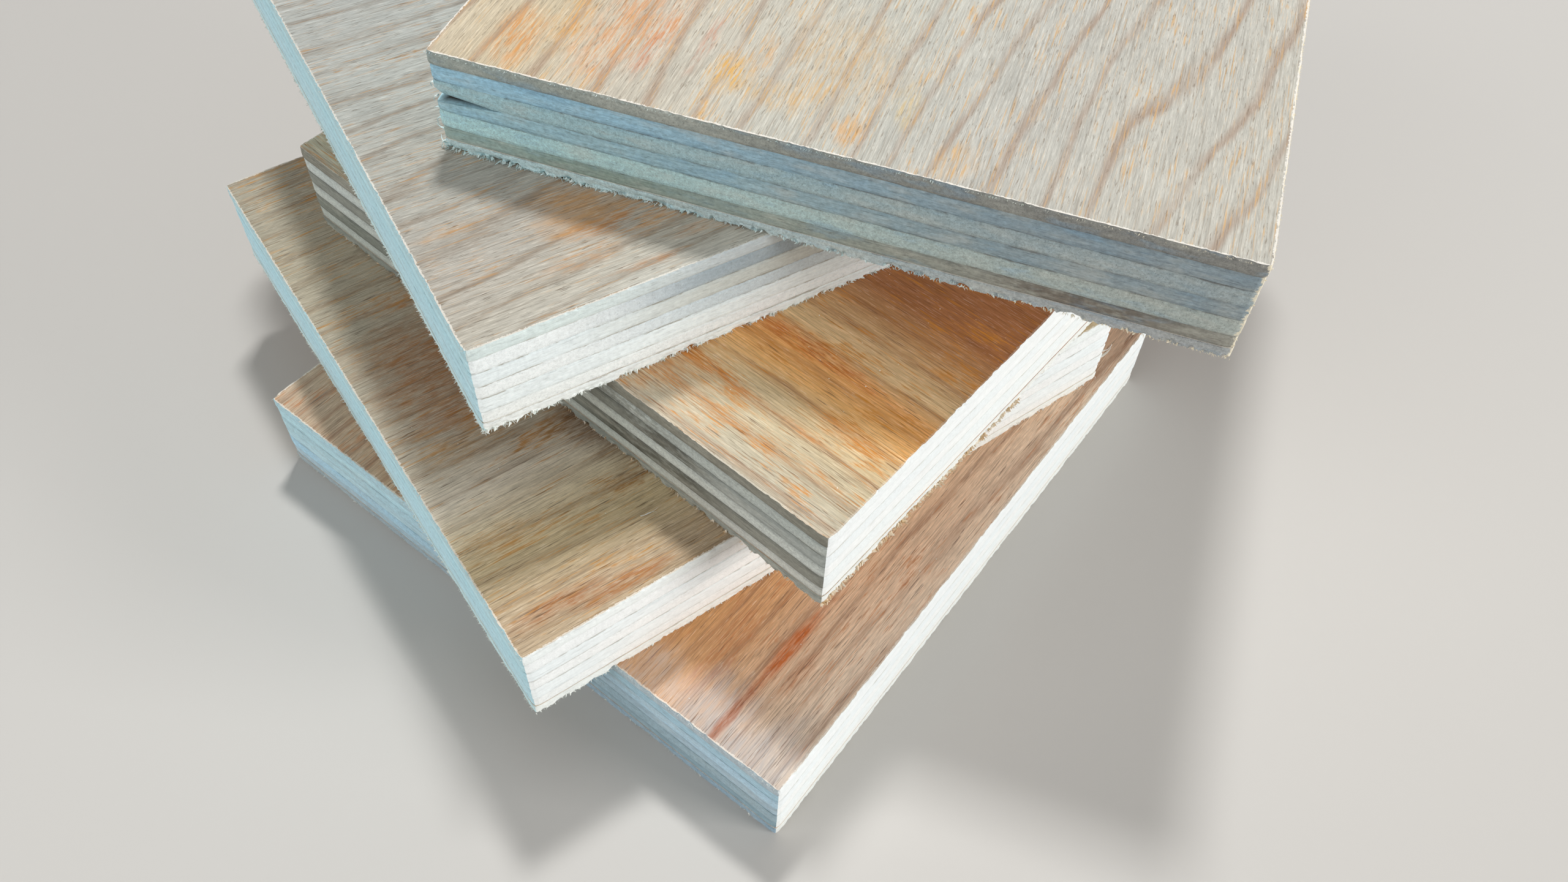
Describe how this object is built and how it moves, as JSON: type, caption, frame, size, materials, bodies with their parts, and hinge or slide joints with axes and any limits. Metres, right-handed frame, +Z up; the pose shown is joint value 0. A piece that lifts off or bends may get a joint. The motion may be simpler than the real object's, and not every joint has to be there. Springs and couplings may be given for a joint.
{
  "type": "stack of plywood sheets",
  "caption": "Stack of small square plywood off-cuts lying flat on each other, each turned against the one below; board samples or raw stock for sawing and gluing.",
  "frame": {"origin": "centre of the bottom sheet's underside, on which the stack rests", "axes": "+Z up through the stack; the bottom sheet's sides are square to X and Y"},
  "size_m": [0.1604, 0.1632, 0.076],
  "materials": {
    "face_wood": "bare rotary-cut hardwood veneer, lightly sanded",
    "crossband_wood": "bare rotary-cut veneer laid across the face grain, sawn edge",
    "core_wood": "bare rotary-cut veneer laid along the face grain, sawn edge"
  },
  "bodies": {
    "root": {"bottom_sheet_back_veneer": "face_wood", "bottom_sheet_lower_crossband": "crossband_wood", "bottom_sheet_lower_long_ply": "core_wood", "bottom_sheet_middle_crossband": "crossband_wood", "bottom_sheet_upper_long_ply": "core_wood", "bottom_sheet_upper_crossband": "crossband_wood", "bottom_sheet_face_veneer": "face_wood", "fourth_sheet_back_veneer": "face_wood", "fourth_sheet_lower_crossband": "crossband_wood", "fourth_sheet_lower_long_ply": "core_wood", "fourth_sheet_middle_crossband": "crossband_wood", "fourth_sheet_upper_long_ply": "core_wood", "fourth_sheet_upper_crossband": "crossband_wood", "fourth_sheet_face_veneer": "face_wood", "third_sheet_back_veneer": "face_wood", "third_sheet_lower_crossband": "crossband_wood", "third_sheet_lower_long_ply": "core_wood", "third_sheet_middle_crossband": "crossband_wood", "third_sheet_upper_long_ply": "core_wood", "third_sheet_upper_crossband": "crossband_wood", "third_sheet_face_veneer": "face_wood", "second_sheet_back_veneer": "face_wood", "second_sheet_lower_crossband": "crossband_wood", "second_sheet_lower_long_ply": "core_wood", "second_sheet_middle_crossband": "crossband_wood", "second_sheet_upper_long_ply": "core_wood", "second_sheet_upper_crossband": "crossband_wood", "second_sheet_face_veneer": "face_wood", "top_sheet_back_veneer": "face_wood", "top_sheet_lower_crossband": "crossband_wood", "top_sheet_lower_long_ply": "core_wood", "top_sheet_middle_crossband": "crossband_wood", "top_sheet_upper_long_ply": "core_wood", "top_sheet_upper_crossband": "crossband_wood", "top_sheet_face_veneer": "face_wood"}
  },
  "joints": []
}
